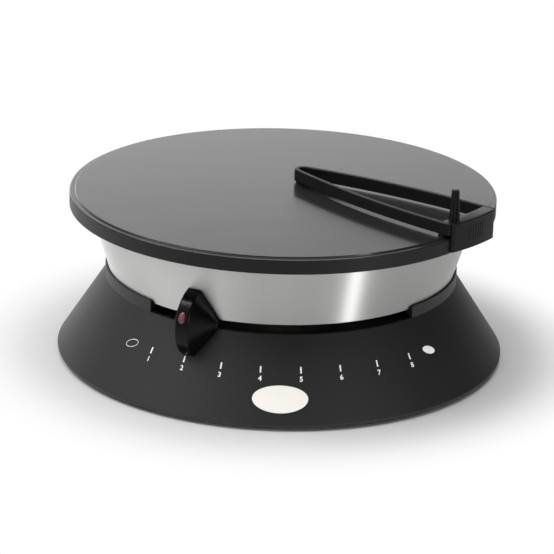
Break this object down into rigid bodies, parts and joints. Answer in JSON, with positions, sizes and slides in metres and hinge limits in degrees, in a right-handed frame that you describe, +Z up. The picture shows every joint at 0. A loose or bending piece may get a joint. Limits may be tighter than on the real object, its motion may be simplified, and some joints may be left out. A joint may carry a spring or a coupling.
{
  "type": "electric crepe maker",
  "caption": "Round electric crepe griddle on a flared steel band and black conical base, with a swinging thermostat lever and a batter spreader that turns round the rim.",
  "frame": {"origin": "centre of the round footprint on the bench, under the griddle's axis", "axes": "+Z up along the griddle's axis, -Y to the front with the dial marks, +X to the right seen from the front"},
  "size_m": [0.3696, 0.3696, 0.1764],
  "materials": {
    "griddle_iron": "satin, seasoned flat cooking face, darker side",
    "band_steel": "satin sheet, fine brushing round the band",
    "black_shell": "satin black, slightly grained",
    "black_handle": "smooth satin black phenolic",
    "spreader_plastic": "smooth satin black, heat resistant",
    "cover_plastic": "matte black",
    "foot_rubber": "matte",
    "gland_rubber": "matte",
    "zinc_steel": "zinc plated, machined",
    "sheet_steel": "plain satin sheet",
    "dark_screw": "blackened steel",
    "element_sheath": "oxidised heater sheath",
    "ceramic": "unglazed steatite ceramic",
    "mineral_wool": "loose pressed fibre",
    "brass": "plain",
    "copper": "dull copper",
    "lens_red": "translucent red lens",
    "lamp_glass": "clear glass lamp",
    "badge_cream": "plain off-white",
    "lead_brown": "silicone sleeve",
    "lead_white": "silicone sleeve",
    "lead_blue": "silicone sleeve",
    "lead_green": "silicone sleeve",
    "lead_red": "silicone sleeve"
  },
  "bodies": {
    "body": {"griddle_plate": "griddle_iron", "heating_element": "element_sheath", "element_pins": "zinc_steel", "element_seals": "ceramic", "element_clamps": "sheet_steel", "clamp_studs": "zinc_steel", "clamp_nuts": "zinc_steel", "heat_reflector": "sheet_steel", "insulation_mat": "mineral_wool", "steel_band": "band_steel", "rim_screws": "zinc_steel", "tie_rods": "zinc_steel", "rod_nuts": "zinc_steel", "chassis_plate": "sheet_steel", "thermostat_body": "ceramic", "thermostat_tabs": "brass", "sensing_rod": "copper", "thermostat_bracket": "sheet_steel", "bracket_pillars": "zinc_steel", "thermal_fuse": "sheet_steel", "fuse_clip": "sheet_steel", "terminal_block": "ceramic", "terminal_screws": "brass", "earth_stud": "zinc_steel", "live_lead": "lead_brown", "fuse_lead": "lead_white", "element_lead": "lead_white", "neutral_lead": "lead_blue", "earth_lead": "lead_green", "base_shell": "black_shell", "bottom_cover": "cover_plastic", "cover_screws": "dark_screw", "rubber_feet": "foot_rubber", "foot_screws": "zinc_steel", "oval_badge": "badge_cream", "cord_gland": "gland_rubber", "gland_nut": "black_handle", "pivot_bush": "brass"},
    "lever": {"thermostat_spindle": "zinc_steel", "lever_hub": "sheet_steel", "hub_nut": "zinc_steel", "lever_arm": "sheet_steel", "lever_knob": "black_handle", "pilot_lens": "lens_red", "pilot_lamp": "lamp_glass", "lamp_leads": "lead_red"},
    "spreader": {"spreader_frame": "spreader_plastic", "finger_peg": "spreader_plastic", "glide_pads": "spreader_plastic"}
  },
  "joints": [
    {"name": "lever_swing", "type": "hinge", "parent": "body", "child": "lever", "pos_m": [0, 0, 0.07], "axis": [0, 0, 1], "range_deg": [-16.2, 70.6]},
    {"name": "spreader_turn", "type": "hinge", "parent": "body", "child": "spreader", "pos_m": [0, 0, 0.14], "axis": [0, 0, 1], "continuous": true}
  ]
}
